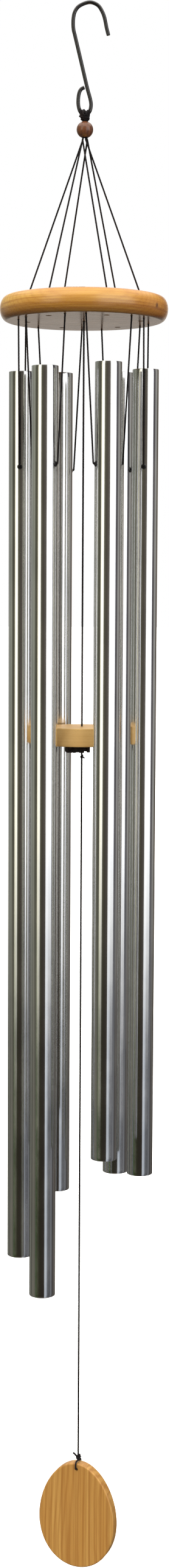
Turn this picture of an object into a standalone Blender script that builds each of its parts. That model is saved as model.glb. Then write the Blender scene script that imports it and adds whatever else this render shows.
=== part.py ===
"""Six-tube wind chime that hangs from a wire hook.

Metres, +Z up. The origin is the hang point: the inside of the hook, where it rests on a branch or bracket.
The chime hangs straight down the Z axis. -Y is its front, +X its right.
"""

import math

import bmesh
import bpy
from mathutils import Matrix, Vector

GAP = 0.0003  # between pieces that touch

# Heights along the hanging axis
EYE_Z = -0.127  # middle of the wire at the bottom of the hook's eye
KNOT_Z = -0.1322  # knot of the hanger loop, under the eye
BEAD_Z = -0.145
CANOPY_TOP = -0.3425
CANOPY_BOTTOM = -0.371
CROSS_HOLE_Z = -0.5453
STRIKER_Z = -0.872
LOCK_Z = -0.8888
STOP_KNOT_Z = -0.8980  # knot in the centre cord, under the cord lock
SAIL_KNOT_Z = -1.7912
SAIL_TOP = -1.7975

# Hook
HOOK_WIRE_R = 0.00225
HOOK_POINTS = (  # (x, z) of the wire's centreline, from its free end over the top and down to the eye
    (0.0276, -0.0352), (0.0252, -0.0262), (0.0228, -0.0150), (0.0197, -0.0071), (0.0150, -0.0005),
    (0.0074, 0.0030), (0.0000, 0.00225), (-0.0082, -0.0018), (-0.0125, -0.0075), (-0.0144, -0.0150),
    (-0.0147, -0.0226), (-0.0141, -0.0290), (-0.0123, -0.0362), (-0.0051, -0.0653), (0.0022, -0.0950),
    (0.0060, -0.1085), (0.0072, -0.1165), (0.0052, -0.1242), (0.0000, EYE_Z), (-0.0054, -0.1244),
    (-0.0079, -0.1170), (-0.0081, -0.1085), (-0.0067, -0.1010), (-0.0042, -0.0973), (-0.0008, -0.0957),
)  # fmt: skip

# Hanger loop and bead
LOOP_RING_R = 0.0047
LOOP_CORD_R = 0.0011
LOOP_RINGS = ((-0.0028, 0.0009), (0.0, 0.0), (0.0028, 0.0009))  # (x, height over EYE_Z) of each turn
KNOT_SIZE = (0.0045, 0.0045, 0.0024)  # half axes
BEAD_R = 0.010
BEAD_HOLE_R = 0.0035
BUNDLE_R = 0.0031  # the six support cords together, inside the bead

# Cords
CORD_R = 0.001
CENTRE_CORD_R = 0.0011
CORD_HOLE_R = 0.0017

# Canopy disc, an 8 inch round
CANOPY_R = 0.1016
CANOPY_RIM = 0.0086  # how far in the rounded rim reaches, top and bottom
SUPPORT_R = 0.069  # circle of the support cords
SUPPORT_HOLE_R = 0.0020  # of the centre hole too
SUPPORT_COUNTERBORE_R = 0.0036
SUPPORT_COUNTERBORE_TOP = -0.3525
SUPPORT_KNOT_Z = -0.3560
SUPPORT_KNOT_R = 0.0028
SUPPORT_END_Z = -0.3620
SUPPORT_START_Z = -0.1563  # of each cord, under the bead
SUPPORT_STARTS = (  # (x, y) there. Cords 3 and 6 pass each other lower down, and so do 4 and 5.
    (-0.0026, 0.0), (-0.0024, 0.0025), (0.0030, 0.0025), (0.0029, 0.0), (0.0008, -0.0025), (-0.0029, -0.0025),
)  # fmt: skip

# Tubes, 1 1/4 inch outside, in a ring. Tube 1 is the longest, and they get shorter clockwise from above.
TUBE_COUNT = 6
TUBE_RING_R = 0.0755
TUBE_1_ANGLE = math.radians(233)
TUBE_R = 0.016
TUBE_WALL = 0.0018
TUBE_TOPS = (-0.430, -0.4305, -0.426, -0.426, -0.4288, -0.426)
TUBE_LENGTHS = (1.128, 1.0995, 1.036, 1.010, 0.9902, 0.958)
TUBE_SIDES = 32
CORD_SPREAD_TOP = 0.0292  # half the distance between a tube's two cord holes in the canopy
CORD_SPREAD_LOW = 0.0190  # half the distance between the two runs of its cord, at the cross-holes
CORD_BEND_R = 0.0016
HINGE_DROP = 0.0016  # a cord bends this far under the canopy

# Grommets in the cross-holes: a collar with a domed flange outside and a flat one inside
CROSS_HOLE_R = 0.00265
GROMMET_BORE_R = 0.0014
GROMMET_NECK_R = 0.0023
GROMMET_FLANGE_R = 0.00325
GROMMET_DOME = 0.0011
GROMMET_INNER_FLANGE = 0.0009
GROMMET_INNER_A = 0.0126  # distance of the inner end from the tube's axis

# Striker, a 3 1/2 inch round
STRIKER_R = 0.04445
STRIKER_THICK = 0.0225
STRIKER_EDGE_R = 0.001
STRIKER_HOLE_R = 0.0021

# Cord lock under the striker, lying along X
LOCK_R = 0.0048
LOCK_LEFT = -0.021
LOCK_RIGHT = 0.003
LOCK_END_WALL = 0.0022
LOCK_BORE_R = 0.0033
LOCK_CORD_HOLE_R = 0.0016
PLUNGER_R = 0.0029
PLUNGER_INNER_END = -0.009
PLUNGER_HEAD_R = 0.0043
PLUNGER_HEAD = (0.0063, 0.0102)  # x of its two faces
PLUNGER_TRAVEL = 0.0025
SPRING_R = 0.0024
SPRING_WIRE_R = 0.00035
SPRING_TURNS = 5

# Centre cord joints
STRIKER_PIVOT_Z = (CANOPY_BOTTOM - HINGE_DROP, -0.3783)
SAIL_PIVOT_Z = (-0.9050, -0.9103)

# Sail
SAIL_HEIGHT = 0.1366
SAIL_WIDTH = 0.102
SAIL_THICK = 0.0135
SAIL_EDGE_R = 0.002
SAIL_TAPER = 0.10  # how much narrower the top is than the bottom
SAIL_YAW = math.radians(-22)
SAIL_HOLE_R = 0.0022
SAIL_HOLE_Z = -1.8050
SAIL_KNOT_R = 0.0027
SAIL_STRAND_Z = SAIL_HOLE_Z + SAIL_HOLE_R - CORD_R - GAP  # the loop, against the top of the hole
SAIL_LOOP_REACH = 0.0094  # of the loop, in front of the sail's middle plane


def material(name, colour, roughness, metallic=0.0):
    """A Principled material."""
    made = bpy.data.materials.new(name)
    made.use_nodes = True
    shader = made.node_tree.nodes["Principled BSDF"]
    shader.inputs["Base Color"].default_value = (*colour, 1.0)
    shader.inputs["Roughness"].default_value = roughness
    shader.inputs["Metallic"].default_value = metallic
    return made


def place(name, data, finish, matrix=None, parent=None):
    """An object for this mesh or curve, in the scene, in world place matrix, carried by parent."""
    obj = bpy.data.objects.new(name, data)
    bpy.context.scene.collection.objects.link(obj)
    obj.data.materials.append(finish)
    obj.parent = parent
    obj.matrix_world = matrix or Matrix()
    return obj


def pivot(name, position, parent=None, turn=0.0):
    """An empty on a joint's axis, turned about Z."""
    empty = bpy.data.objects.new(name, None)
    empty.empty_display_size = 0.01
    bpy.context.scene.collection.objects.link(empty)
    empty.parent = parent
    bpy.context.view_layer.update()
    empty.matrix_world = Matrix.Translation(position) @ Matrix.Rotation(turn, 4, "Z")
    bpy.context.view_layer.update()
    return empty


def mesh_of(name, bm, smooth_under=35):
    """A mesh made from bm, faces out, shaded smooth under this angle in degrees."""
    bmesh.ops.recalc_face_normals(bm, faces=bm.faces)
    mesh = bpy.data.meshes.new(name)
    bm.to_mesh(mesh)
    bm.free()
    mesh.shade_smooth()
    mesh.set_sharp_from_angle(angle=math.radians(smooth_under))
    return mesh


def turned(name, profile, sides):
    """A closed mesh turned about Z from (radius, z) points. A point on the axis becomes a pole."""
    bm = bmesh.new()
    rings = []
    for radius, z in profile:
        count = 1 if radius == 0 else sides
        turns = (2 * math.pi * k / sides for k in range(count))
        rings.append([bm.verts.new((radius * math.cos(a), radius * math.sin(a), z)) for a in turns])
    closed = profile[0][0] > 0 and profile[-1][0] > 0
    followers = rings[1:] + rings[:1] if closed else rings[1:]
    for low, high in zip(rings, followers):
        for k in range(sides):
            n = (k + 1) % sides
            corners = [low[k % len(low)], low[n % len(low)], high[n % len(high)], high[k % len(high)]]
            bm.faces.new(list(dict.fromkeys(corners)))
    return mesh_of(name, bm)


def arc(centre, radii, start, stop, steps):
    """Points on an ellipse's arc about centre, from angle start to stop in degrees."""
    angles = [math.radians(start + (stop - start) * k / steps) for k in range(steps + 1)]
    return [(centre[0] + radii[0] * math.cos(a), centre[1] + radii[1] * math.sin(a)) for a in angles]


def smooth_route(points, step, closed=False):
    """Points about step apart on a Catmull-Rom curve through these ones."""
    points = [Vector(p) for p in points]
    if closed:
        padded = [points[-1], *points, points[0], points[1]]
    else:
        padded = [2 * points[0] - points[1], *points, 2 * points[-1] - points[-2]]
    route = [] if closed else [points[0]]
    for a, b, c, d in zip(padded, padded[1:], padded[2:], padded[3:]):
        count = max(1, round((c - b).length / step))
        for k in range(1, count + 1):
            t = k / count
            bend = (2 * a - 5 * b + 4 * c - d) * t**2 + (3 * b - a - 3 * c + d) * t**3
            route.append(0.5 * (2 * b + (c - a) * t + bend))
    return route


def rounded_route(corners, radius, steps=3):
    """The straight route through these corners, each rounded to this radius."""
    corners = [Vector(c) for c in corners]
    route = [corners[0]]
    for before, corner, after in zip(corners, corners[1:], corners[2:]):
        back, ahead = (before - corner).normalized(), (after - corner).normalized()
        half = back.angle(ahead) / 2
        centre = corner + (back + ahead).normalized() * radius / math.sin(half)
        start = (corner + back * radius / math.tan(half) - centre).normalized()
        stop = (corner + ahead * radius / math.tan(half) - centre).normalized()
        route += [centre + radius * start.slerp(stop, k / steps) for k in range(steps + 1)]
    return [*route, corners[-1]]


def straight(start, stop, count):
    """Points from start to stop, in this many steps."""
    return [Vector(start).lerp(Vector(stop), k / count) for k in range(count + 1)]


def round_tube(name, route, radius, finish, parent=None, swell=None, matrix=None, closed=False):
    """A cord or wire along route. swell gives its radius at a point, as a multiple of radius."""
    curve = bpy.data.curves.new(name, "CURVE")
    curve.dimensions = "3D"
    curve.bevel_depth = radius
    curve.bevel_resolution = 2
    curve.use_fill_caps = True
    spline = curve.splines.new("POLY")
    spline.points.add(len(route) - 1)
    spline.use_cyclic_u = closed
    for point, at in zip(spline.points, route):
        point.co = (*at, 1.0)
        point.radius = swell(Vector(at)) if swell else 1.0
    return place(name, curve, finish, matrix, parent)


def knot_swell(knot, ratio, reach):
    """A swell for round_tube: the cord grows to ratio times its radius at a knot that reaches this far."""

    def swell(at):
        along = min(1.0, (at - Vector(knot)).length / reach)
        return 1 + (ratio - 1) * math.sqrt(max(0.0, 1 - along**2))

    return swell


def boolean(target, operation, tool_mesh, matrix=None):
    """Cuts a mesh out of target, or joins it on."""
    tool = bpy.data.objects.new(f"{target.name}_{operation.lower()}", tool_mesh)
    bpy.context.scene.collection.objects.link(tool)
    tool.matrix_world = matrix or Matrix()
    tool.hide_render = True
    tool.display_type = "WIRE"
    modifier = target.modifiers.new(operation.lower(), "BOOLEAN")
    modifier.operation = operation
    modifier.solver = "EXACT"
    modifier.object = tool


def rods(name, places, radius, low, high, sides=12):
    """Upright cylinders at these (x, y) places, from z low to high, in one mesh."""
    bm = bmesh.new()
    for x, y in places:
        middle = Matrix.Translation((x, y, (low + high) / 2))
        bmesh.ops.create_cone(
            bm, cap_ends=True, segments=sides, radius1=radius, radius2=radius, depth=high - low, matrix=middle
        )
    return mesh_of(name, bm)


def ball(name, half_axes, centre=(0, 0, 0)):
    """An ellipsoid."""
    bm = bmesh.new()
    matrix = Matrix.Translation(centre) @ Matrix.Diagonal((*half_axes, 1))
    bmesh.ops.create_uvsphere(bm, u_segments=16, v_segments=8, radius=1.0, matrix=matrix)
    return mesh_of(name, bm)


def slab(name, outline, low, high):
    """A prism: an outline of (x, y) points, from z low to high."""
    bm = bmesh.new()
    base = bm.faces.new([bm.verts.new((x, y, low)) for x, y in outline])
    geometry = bmesh.ops.extrude_face_region(bm, geom=[base])["geom"]
    top = [v for v in geometry if isinstance(v, bmesh.types.BMVert)]
    bmesh.ops.translate(bm, verts=top, vec=(0, 0, high - low))
    return mesh_of(name, bm)


def around(angle, radial, tangential=0.0):
    """(x, y) of a point this far from the axis in a direction, then this far to the left."""
    x = radial * math.cos(angle) - tangential * math.sin(angle)
    y = radial * math.sin(angle) + tangential * math.cos(angle)
    return x, y


def tube_angle(index):
    """Direction of a tube from the axis. Tubes are numbered from 1."""
    return TUBE_1_ANGLE - 2 * math.pi * (index - 1) / TUBE_COUNT


def add_hook(finish):
    """The coated wire hook, open at the top and bent into an eye at the bottom."""
    outline = [(x, 0.0, z) for x, z in HOOK_POINTS]
    round_tube("hook", smooth_route(outline, 0.0045), HOOK_WIRE_R, finish)


def add_hanger_loop(finish, parent):
    """Three turns of cord round the bottom of the eye, drawn into one knot below it."""
    across = Vector((1, 0, 0))
    bm = bmesh.new()
    for x, rise in LOOP_RINGS:
        rings = []
        for k in range(16):
            out = Vector((0, math.cos(math.pi * k / 8), math.sin(math.pi * k / 8)))
            middle = Vector((x, 0, EYE_Z + rise)) + LOOP_RING_R * out
            sides = [math.cos(math.pi * j / 4) * out + math.sin(math.pi * j / 4) * across for j in range(8)]
            rings.append([bm.verts.new(middle + LOOP_CORD_R * side) for side in sides])
        for one, two in zip(rings, rings[1:] + rings[:1]):
            for j in range(8):
                bm.faces.new((one[j], one[(j + 1) % 8], two[(j + 1) % 8], two[j]))
    loop = place("hanger_loop", mesh_of("hanger_loop", bm), finish, parent=parent)
    boolean(loop, "UNION", ball("hanger_loop_knot", KNOT_SIZE, (0, 0, KNOT_Z)))


def add_bead(finish, cord, parent):
    """The round bead, and the six support cords drawn together through it."""
    edge = math.degrees(math.acos(BEAD_HOLE_R / BEAD_R))
    profile = arc((0, BEAD_Z), (BEAD_R, BEAD_R), -edge, edge, 12)
    place("bead", turned("bead", profile, 24), finish, parent=parent)
    half = BEAD_R + 2 * GAP
    bundle = rods("hanger_cord", [(0, 0)], BUNDLE_R, BEAD_Z - half, BEAD_Z + half - GAP)
    place("hanger_cord", bundle, cord, parent=parent)


def add_canopy(finish, parent):
    """The canopy disc: a round board with a bullnose rim, drilled for every cord."""
    middle = (CANOPY_TOP + CANOPY_BOTTOM) / 2
    half = (CANOPY_TOP - CANOPY_BOTTOM) / 2
    rim = arc((CANOPY_R - CANOPY_RIM, middle), (CANOPY_RIM, half), -90, 90, 10)
    disc = turned("canopy", [(0, CANOPY_BOTTOM), *rim, (0, CANOPY_TOP)], 64)
    canopy = place("canopy", disc, finish, parent=parent)
    angles = [tube_angle(k + 1) for k in range(TUBE_COUNT)]
    sides = (CORD_SPREAD_TOP, -CORD_SPREAD_TOP)
    drill = (CANOPY_BOTTOM - 0.005, CANOPY_TOP + 0.005)
    cord_holes = [around(a, TUBE_RING_R, t) for a in angles for t in sides]
    support_holes = [around(a, SUPPORT_R) for a in angles]
    boolean(canopy, "DIFFERENCE", rods("cord_drills", cord_holes, CORD_HOLE_R, *drill))
    boolean(canopy, "DIFFERENCE", rods("support_drills", [*support_holes, (0, 0)], SUPPORT_HOLE_R, *drill))
    sunk = (drill[0], SUPPORT_COUNTERBORE_TOP)
    boolean(canopy, "DIFFERENCE", rods("counterbores", support_holes, SUPPORT_COUNTERBORE_R, *sunk))


def add_support_cord(index, finish, parent):
    """One of the six cords from the bead to the canopy, knotted inside its counterbore."""
    angle = tube_angle(index)
    enter = (*around(angle, SUPPORT_R), CANOPY_TOP + CORD_R)
    knot = Vector((*around(angle, SUPPORT_R), SUPPORT_KNOT_Z))
    reach = Vector((0, 0, SUPPORT_KNOT_R + GAP))
    start = (*SUPPORT_STARTS[index - 1], SUPPORT_START_Z)
    route = rounded_route([start, enter, knot + reach], 6 * CORD_R)
    route += straight(knot + reach, knot - reach, 8)[1:]
    route.append(Vector((knot.x, knot.y, SUPPORT_END_Z)))
    swell = knot_swell(knot, SUPPORT_KNOT_R / CORD_R, reach.z)
    round_tube(f"support_cord_{index}", route, CORD_R, finish, parent, swell)


def add_lacing(index, finish, parent):
    """The cord over the top of the canopy, from this tube's hole down the next tube's."""
    here = around(tube_angle(index), TUBE_RING_R, -CORD_SPREAD_TOP)
    there = around(tube_angle(index + 1), TUBE_RING_R, CORD_SPREAD_TOP)
    low, high = CANOPY_BOTTOM - GAP / 2, CANOPY_TOP + 1.4 * CORD_R
    route = rounded_route([(*here, low), (*here, high), (*there, high), (*there, low)], 2 * CORD_R)
    round_tube(f"canopy_lacing_{index}", route, CORD_R, finish, parent)


def tube_profile(index):
    """(radius, z) round the wall of a tube, from its cross-holes."""
    top = TUBE_TOPS[index - 1] - CROSS_HOLE_Z
    bottom = top - TUBE_LENGTHS[index - 1]
    inside = TUBE_R - TUBE_WALL
    return [(TUBE_R, bottom), (TUBE_R, top), (inside, top), (inside, bottom)]


def grommet_profile():
    """(radius, distance from the tube's axis) round a grommet."""
    inner_face = GROMMET_INNER_A + GROMMET_INNER_FLANGE
    outer_face = TUBE_R + GAP
    return [
        (GROMMET_BORE_R, GROMMET_INNER_A),
        (GROMMET_FLANGE_R, GROMMET_INNER_A),
        (GROMMET_FLANGE_R, inner_face),
        (GROMMET_NECK_R, inner_face),
        (GROMMET_NECK_R, outer_face),
        (GROMMET_FLANGE_R, outer_face),
        (0.9 * GROMMET_FLANGE_R, outer_face + 0.6 * GROMMET_DOME),
        (0.65 * GROMMET_FLANGE_R, outer_face + GROMMET_DOME),
        (GROMMET_BORE_R, outer_face + GROMMET_DOME),
    ]


def add_tube(index, aluminium, rubber, cord, canopy_pivot):
    """A tube with its two grommets, and the cord that carries it."""
    angle = tube_angle(index)
    foot = around(angle, TUBE_RING_R)
    swing = pivot(f"tube_{index}_swing", (*foot, CANOPY_BOTTOM - HINGE_DROP), canopy_pivot, angle)
    tilt = pivot(f"tube_{index}_tilt", (*foot, CROSS_HOLE_Z), swing, angle)

    hinge_z = CANOPY_BOTTOM - HINGE_DROP - CROSS_HOLE_Z
    slope = (CORD_SPREAD_TOP - CORD_SPREAD_LOW) / hinge_z
    end = (0, CORD_SPREAD_TOP + slope * HINGE_DROP / 2, hinge_z + 0.4 * HINGE_DROP)
    corners = [end, (0, CORD_SPREAD_LOW, 0), (0, -CORD_SPREAD_LOW, 0), (0, -end[1], end[2])]
    route = rounded_route(corners, CORD_BEND_R, 4)
    round_tube(f"tube_{index}_cord", route, CORD_R, cord, swing, matrix=tilt.matrix_world)

    body = turned(f"tube_{index}", tube_profile(index), TUBE_SIDES)
    tube = place(f"tube_{index}", body, aluminium, tilt.matrix_world, tilt)
    across = tilt.matrix_world @ Matrix.Rotation(math.radians(90), 4, "X")
    drill = rods("cross_drill", [(0, 0)], CROSS_HOLE_R, -1.5 * TUBE_R, 1.5 * TUBE_R)
    boolean(tube, "DIFFERENCE", drill, across)

    grommet = turned("grommet", grommet_profile(), 10)
    for side, turn in (("left", -90), ("right", 90)):
        facing = tilt.matrix_world @ Matrix.Rotation(math.radians(turn), 4, "X")
        place(f"tube_{index}_grommet_{side}", grommet, rubber, facing, tilt)


def add_centre_cord(finish, canopy_pivot, front_pivot, side_pivot):
    """The centre cord down to its stop knot: its anchor in the canopy, a short link, and the long run."""
    knot = Vector((0, 0, CANOPY_TOP + 3 * CENTRE_CORD_R))
    reach = Vector((0, 0, 3 * CENTRE_CORD_R - GAP))
    route = [knot + 3 * reach, *straight(knot + reach, knot - reach, 8)]
    route.append(Vector((0, 0, CANOPY_BOTTOM - GAP / 2)))
    swell = knot_swell(knot, 2.7, reach.z)
    round_tube("centre_cord_anchor", route, CENTRE_CORD_R, finish, canopy_pivot, swell)

    link = straight((0, 0, STRIKER_PIVOT_Z[0] + 2 * GAP), (0, 0, STRIKER_PIVOT_Z[1] + 3 * GAP), 1)
    round_tube("centre_cord_link", link, CENTRE_CORD_R, finish, front_pivot)

    stop = Vector((0, 0, STOP_KNOT_Z))
    reach = Vector((0, 0, 2 * CENTRE_CORD_R))
    route = [Vector((0, 0, STRIKER_PIVOT_Z[1] + GAP)), *straight(stop + reach, stop - reach, 8)]
    route.append(Vector((0, 0, SAIL_PIVOT_Z[0] + 4 * GAP)))
    round_tube("striker_cord", route, CENTRE_CORD_R, finish, side_pivot, knot_swell(stop, 2.2, reach.z))


def add_striker(finish, parent):
    """The striker: a thick round board that rides on the cord lock."""
    top, bottom = STRIKER_Z + STRIKER_THICK / 2, STRIKER_Z - STRIKER_THICK / 2
    inset = STRIKER_R - STRIKER_EDGE_R
    edge = (STRIKER_EDGE_R, STRIKER_EDGE_R)
    profile = [
        (STRIKER_HOLE_R, bottom),
        *arc((inset, bottom + STRIKER_EDGE_R), edge, -90, 0, 3),
        *arc((inset, top - STRIKER_EDGE_R), edge, 0, 90, 3),
        (STRIKER_HOLE_R, top),
    ]
    place("striker", turned("striker", profile, 48), finish, parent=parent)


def add_cord_lock(plastic, steel, lock_pivot, plunger_pivot):
    """The cord lock: a barrel across the cord, a plunger that pinches it, and a spring behind that."""
    lie = Matrix.Translation((0, 0, LOCK_Z)) @ Matrix.Rotation(math.radians(90), 4, "Y")
    bore_end = LOCK_LEFT + LOCK_END_WALL
    bevel = 0.2 * LOCK_R
    barrel_profile = [
        (0, LOCK_LEFT),
        *arc((LOCK_R - bevel, LOCK_LEFT + bevel), (bevel, bevel), -90, 0, 2),
        (LOCK_R, LOCK_RIGHT),
        (LOCK_BORE_R, LOCK_RIGHT),
        (LOCK_BORE_R, bore_end),
        (0, bore_end),
    ]
    barrel = place("lock_barrel", turned("lock_barrel", barrel_profile, 20), plastic, lie, lock_pivot)
    cord_hole = rods("lock_cord_hole", [(0, 0)], LOCK_CORD_HOLE_R, LOCK_Z - 2 * LOCK_R, LOCK_Z + 2 * LOCK_R)
    boolean(barrel, "DIFFERENCE", cord_hole)

    neck, face = PLUNGER_HEAD
    plunger_profile = [
        (0, PLUNGER_INNER_END),
        (PLUNGER_R, PLUNGER_INNER_END),
        (PLUNGER_R, neck),
        (PLUNGER_HEAD_R, neck),
        *arc((PLUNGER_HEAD_R - bevel, face - bevel), (bevel, bevel), 0, 90, 2),
        (0, face),
    ]
    plunger = place("lock_plunger", turned("lock_plunger", plunger_profile, 20), plastic, lie, plunger_pivot)
    slot_r = CENTRE_CORD_R + GAP
    ends = (slot_r, slot_r)
    outline = arc((PLUNGER_TRAVEL, 0), ends, -90, 90, 6) + arc((0, 0), ends, 90, 270, 6)
    slot = slab("plunger_slot", outline, LOCK_Z - 2 * LOCK_R, LOCK_Z + 2 * LOCK_R)
    boolean(plunger, "DIFFERENCE", slot)

    steps = 10 * SPRING_TURNS
    start, stop = bore_end + 2 * GAP, PLUNGER_INNER_END - 2 * GAP
    coil = []
    for k in range(steps + 1):
        turn = 2 * math.pi * k * SPRING_TURNS / steps
        x = start + (stop - start) * k / steps
        coil.append(Vector((x, SPRING_R * math.cos(turn), LOCK_Z + SPRING_R * math.sin(turn))))
    round_tube("lock_spring", coil, SPRING_WIRE_R, steel, lock_pivot)


def add_sail_cord(finish, front_pivot, side_pivot, knot_pivot, flap_pivot):
    """The cord down to the sail: a short link, the long run, the knot with its cut end, and the loop."""
    link = straight((0, 0, SAIL_PIVOT_Z[0] + 3 * GAP), (0, 0, SAIL_PIVOT_Z[1] + 3 * GAP), 1)
    round_tube("sail_cord_link", link, CENTRE_CORD_R, finish, front_pivot)
    top, bottom = SAIL_PIVOT_Z[1] + 2 * GAP, SAIL_KNOT_Z + SAIL_KNOT_R + GAP
    round_tube("sail_cord", straight((0, 0, top), (0, 0, bottom), 1), CENTRE_CORD_R, finish, side_pivot)

    knot_ball = ball("sail_knot", (SAIL_KNOT_R,) * 3)
    knot = place("sail_knot", knot_ball, finish, knot_pivot.matrix_world, knot_pivot)
    lean = knot_pivot.matrix_world @ Matrix.Rotation(math.radians(-45), 4, "Y")
    boolean(knot, "UNION", rods("cut_end", [(0, 0)], 0.85 * CORD_R, 0, 2.4 * SAIL_KNOT_R, 8), lean)

    half = [  # (distance in front of the sail's middle plane, z), from under the knot to the hole
        (0.0, SAIL_KNOT_Z - SAIL_KNOT_R - CORD_R - GAP),
        (0.6 * SAIL_LOOP_REACH, SAIL_TOP + 2.4 * CORD_R),
        (0.9 * SAIL_LOOP_REACH, SAIL_TOP - 0.6 * CORD_R),
        (SAIL_LOOP_REACH, SAIL_TOP - 3.4 * CORD_R),
        (0.9 * SAIL_LOOP_REACH, SAIL_STRAND_Z + 0.4 * CORD_R),
        (0.55 * SAIL_LOOP_REACH, SAIL_STRAND_Z),
    ]
    outline = half + [(-y, z) for y, z in reversed(half[1:])]
    route = smooth_route([(0, y, z) for y, z in outline], 0.0022, closed=True)
    turn = Matrix.Rotation(SAIL_YAW, 4, "Z")
    round_tube("sail_loop", route, CORD_R, finish, flap_pivot, matrix=turn, closed=True)


def add_sail(finish, parent):
    """The sail: an egg-shaped board, narrower at the top, with a hole for the loop."""
    outline = []
    for k in range(48):
        a = 2 * math.pi * k / 48
        half_width = SAIL_WIDTH / 2 * (1 - SAIL_TAPER * math.cos(a))
        outline.append((half_width * math.sin(a), SAIL_HEIGHT / 2 * math.cos(a)))
    board = slab("sail", outline, -SAIL_THICK / 2, SAIL_THICK / 2)
    upright = Matrix.Rotation(math.radians(90), 4, "X")
    yaw = Matrix.Rotation(SAIL_YAW, 4, "Z")
    middle = Matrix.Translation((0, 0, SAIL_TOP - SAIL_HEIGHT / 2))
    sail = place("sail", board, finish, yaw @ middle @ upright, parent)
    bevel = sail.modifiers.new("edges", "BEVEL")
    bevel.width = SAIL_EDGE_R
    bevel.segments = 2
    bevel.limit_method = "ANGLE"
    bevel.angle_limit = math.radians(60)
    hole = yaw @ Matrix.Translation((0, 0, SAIL_HOLE_Z)) @ upright
    boolean(sail, "DIFFERENCE", rods("sail_drill", [(0, 0)], SAIL_HOLE_R, -SAIL_THICK, SAIL_THICK, 16), hole)


def build():
    """The whole wind chime."""
    for obj in list(bpy.data.objects):
        bpy.data.objects.remove(obj, do_unlink=True)

    cord = material("black cord", (0.018, 0.017, 0.017), 0.8)
    honey_wood = material("honey wood", (0.58, 0.32, 0.10), 0.25)
    pale_wood = material("pale wood", (0.66, 0.42, 0.16), 0.5)
    sail_wood = material("sail wood", (0.48, 0.25, 0.075), 0.45)
    dark_wood = material("dark wood", (0.11, 0.045, 0.02), 0.35)
    aluminium = material("aluminium", (0.75, 0.76, 0.77), 0.28, 1.0)
    coating = material("hook coating", (0.015, 0.015, 0.016), 0.35)
    plastic = material("lock plastic", (0.013, 0.013, 0.014), 0.4)
    rubber = material("grommet rubber", (0.012, 0.012, 0.012), 0.6)
    steel = material("spring steel", (0.55, 0.55, 0.56), 0.3, 1.0)

    add_hook(coating)
    hanger = pivot("hanger_swing", (0, 0, EYE_Z))
    add_hanger_loop(cord, hanger)
    bead_pivot = pivot("bead_swing", (0, 0, KNOT_Z), hanger)
    add_bead(dark_wood, cord, bead_pivot)

    canopy_pivot = pivot("canopy_twist", (0, 0, CANOPY_TOP), bead_pivot)
    add_canopy(honey_wood, canopy_pivot)
    for index in range(1, TUBE_COUNT + 1):
        add_support_cord(index, cord, canopy_pivot)
        add_lacing(index, cord, canopy_pivot)
        add_tube(index, aluminium, rubber, cord, canopy_pivot)

    striker_front = pivot("striker_swing_front", (0, 0, STRIKER_PIVOT_Z[0]), canopy_pivot)
    striker_side = pivot("striker_swing_side", (0, 0, STRIKER_PIVOT_Z[1]), striker_front)
    add_centre_cord(cord, canopy_pivot, striker_front, striker_side)
    lock_pivot = pivot("cord_lock_slide", (0, 0, LOCK_Z), striker_side)
    plunger_pivot = pivot("lock_plunger_press", (0, 0, LOCK_Z), lock_pivot)
    add_cord_lock(plastic, steel, lock_pivot, plunger_pivot)
    add_striker(pale_wood, pivot("striker_spin", (0, 0, STRIKER_Z), lock_pivot))

    sail_front = pivot("sail_swing_front", (0, 0, SAIL_PIVOT_Z[0]), striker_side)
    sail_side = pivot("sail_swing_side", (0, 0, SAIL_PIVOT_Z[1]), sail_front)
    knot_pivot = pivot("sail_spin", (0, 0, SAIL_KNOT_Z), sail_side)
    flap_pivot = pivot("sail_flap", (0, 0, SAIL_KNOT_Z), knot_pivot, SAIL_YAW)
    add_sail_cord(cord, sail_front, sail_side, knot_pivot, flap_pivot)
    add_sail(sail_wood, pivot("sail_sway", (0, 0, SAIL_STRAND_Z), flap_pivot, SAIL_YAW))


build()
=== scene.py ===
"""The finished look of the six-tube wind chime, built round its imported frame.

Metres, +Z up. The origin is the inside of the hook, -Y is the front and +X the right. Tubes are numbered
clockwise from above, the longest first.
"""

import math

import bmesh
import bpy
from mathutils import Matrix, Vector, noise


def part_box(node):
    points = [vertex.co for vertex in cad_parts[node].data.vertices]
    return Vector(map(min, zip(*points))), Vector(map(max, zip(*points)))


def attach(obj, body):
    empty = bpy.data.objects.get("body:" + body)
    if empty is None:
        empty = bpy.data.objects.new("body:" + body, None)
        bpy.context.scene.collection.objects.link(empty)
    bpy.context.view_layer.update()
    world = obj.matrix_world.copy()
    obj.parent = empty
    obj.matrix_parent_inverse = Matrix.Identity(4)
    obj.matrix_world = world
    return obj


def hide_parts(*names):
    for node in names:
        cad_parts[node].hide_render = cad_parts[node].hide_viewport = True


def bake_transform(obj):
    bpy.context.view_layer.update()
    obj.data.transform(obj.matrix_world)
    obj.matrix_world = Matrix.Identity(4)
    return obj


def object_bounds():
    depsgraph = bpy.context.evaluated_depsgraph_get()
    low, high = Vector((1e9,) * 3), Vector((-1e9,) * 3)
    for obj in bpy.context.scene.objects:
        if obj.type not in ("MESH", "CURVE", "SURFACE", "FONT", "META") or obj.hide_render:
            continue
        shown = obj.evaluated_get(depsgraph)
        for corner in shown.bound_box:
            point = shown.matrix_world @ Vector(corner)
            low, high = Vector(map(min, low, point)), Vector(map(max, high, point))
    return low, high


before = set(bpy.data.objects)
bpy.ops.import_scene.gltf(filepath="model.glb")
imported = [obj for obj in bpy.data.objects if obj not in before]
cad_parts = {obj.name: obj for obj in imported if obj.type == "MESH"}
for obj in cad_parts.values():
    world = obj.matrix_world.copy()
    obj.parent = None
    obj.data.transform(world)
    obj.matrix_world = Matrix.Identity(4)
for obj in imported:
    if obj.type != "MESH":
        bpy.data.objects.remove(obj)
cad_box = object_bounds()

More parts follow.
